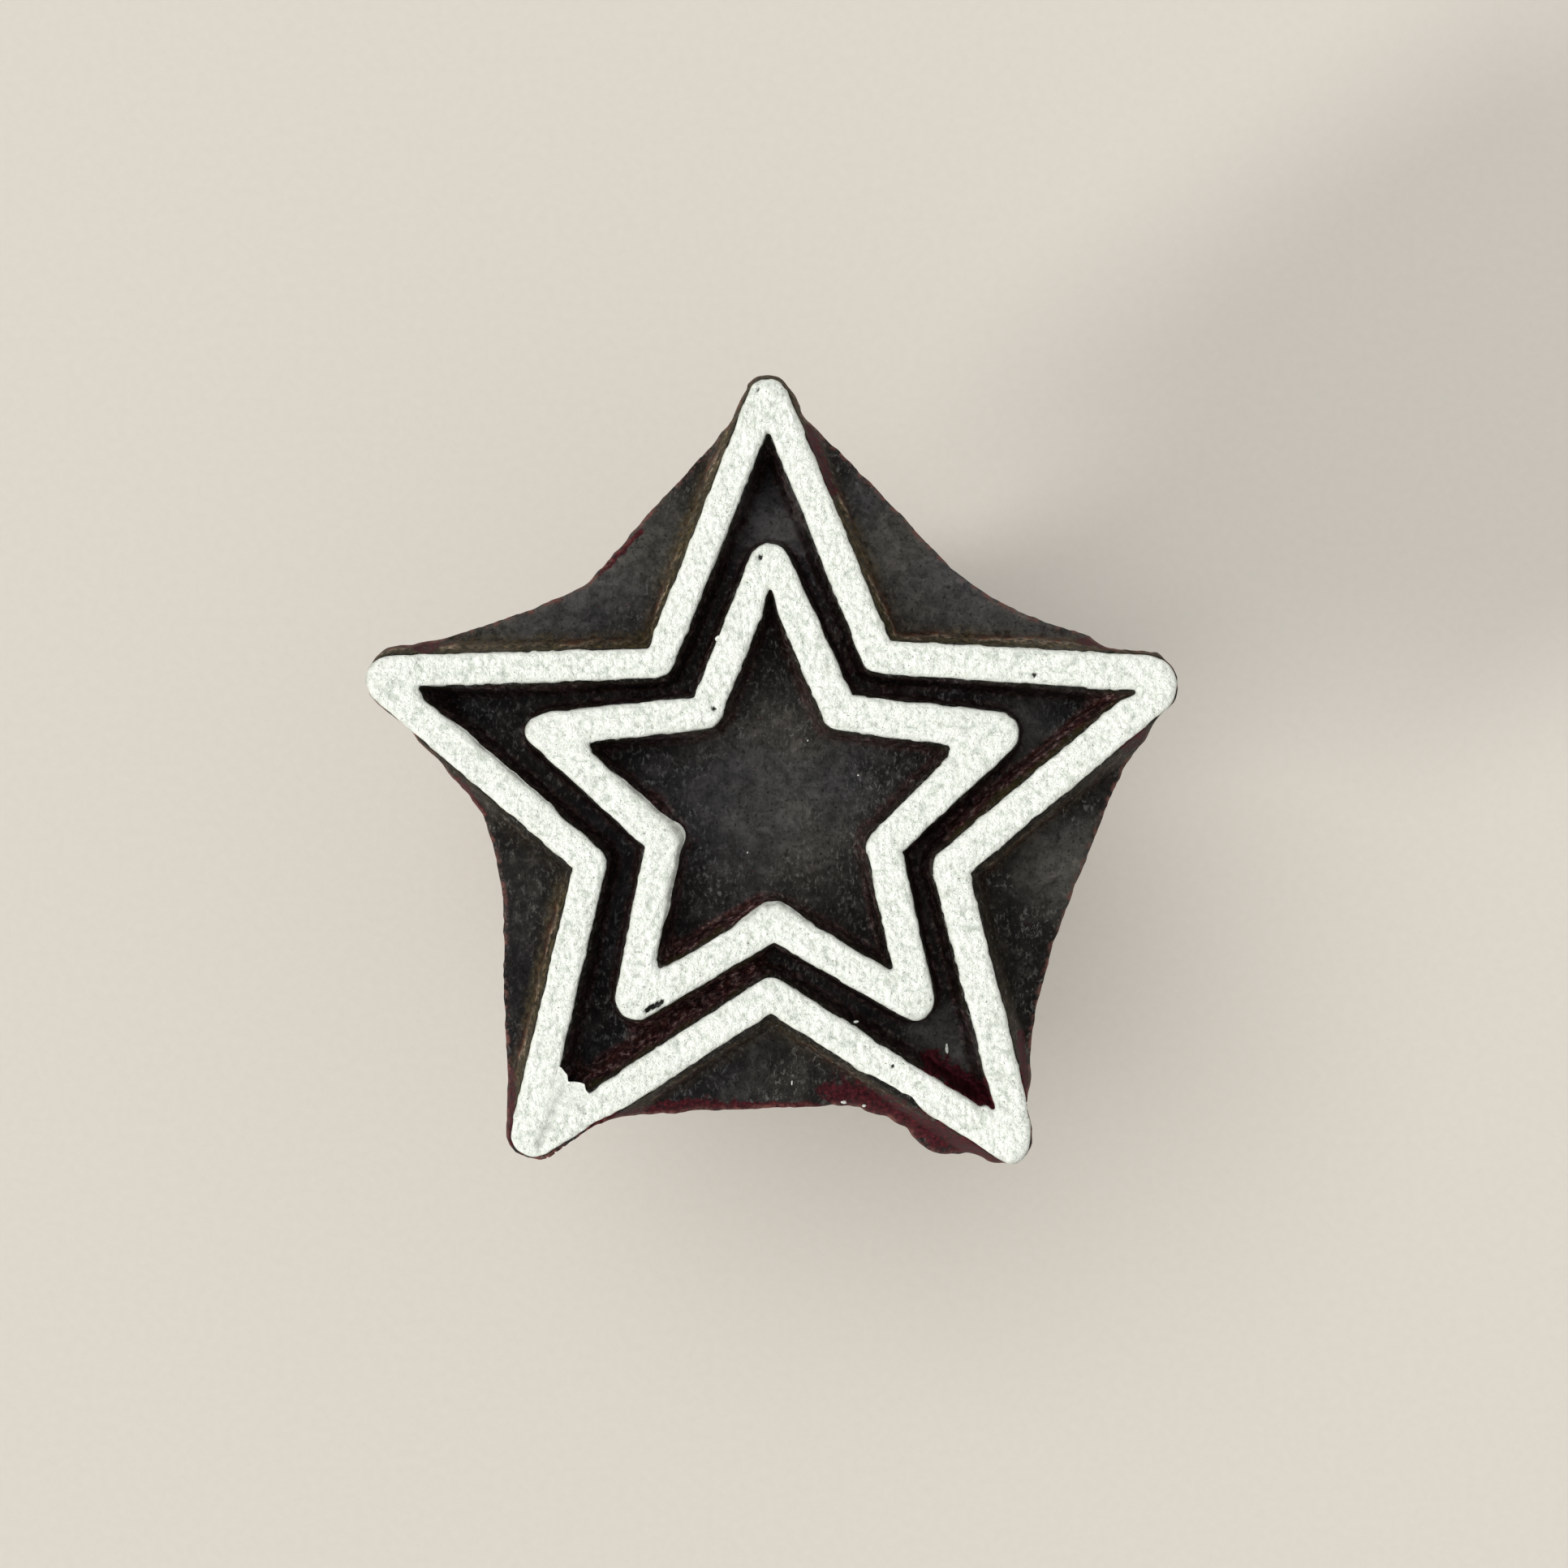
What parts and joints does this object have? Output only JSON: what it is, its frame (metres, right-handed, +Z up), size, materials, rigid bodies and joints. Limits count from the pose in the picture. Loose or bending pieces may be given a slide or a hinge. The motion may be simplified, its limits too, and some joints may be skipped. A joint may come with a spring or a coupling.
{
  "type": "hand stamp",
  "caption": "Hand-carved wooden block stamp with nested raised star outlines faced in white paint, on a turned wooden handle.",
  "frame": {"origin": "centre of the handle's flat end, where the stamp stands", "axes": "+Z up from the handle's flat end towards the printing face; +Y towards the star's top point; +X completes a right-handed frame"},
  "size_m": [0.0521, 0.0501, 0.0468],
  "materials": {
    "block_wood": "hand-carved dark hardwood, stained near black",
    "face_paint": "dried water-based paint, matt, pitted",
    "handle_wood": "turned dark hardwood, waxed",
    "dowel_wood": "plain fluted hardwood dowel"
  },
  "bodies": {
    "root": {"carved_block": "block_wood", "outer_star_paint": "face_paint", "inner_star_paint": "face_paint", "handle": "handle_wood", "handle_dowel": "dowel_wood"}
  },
  "joints": []
}
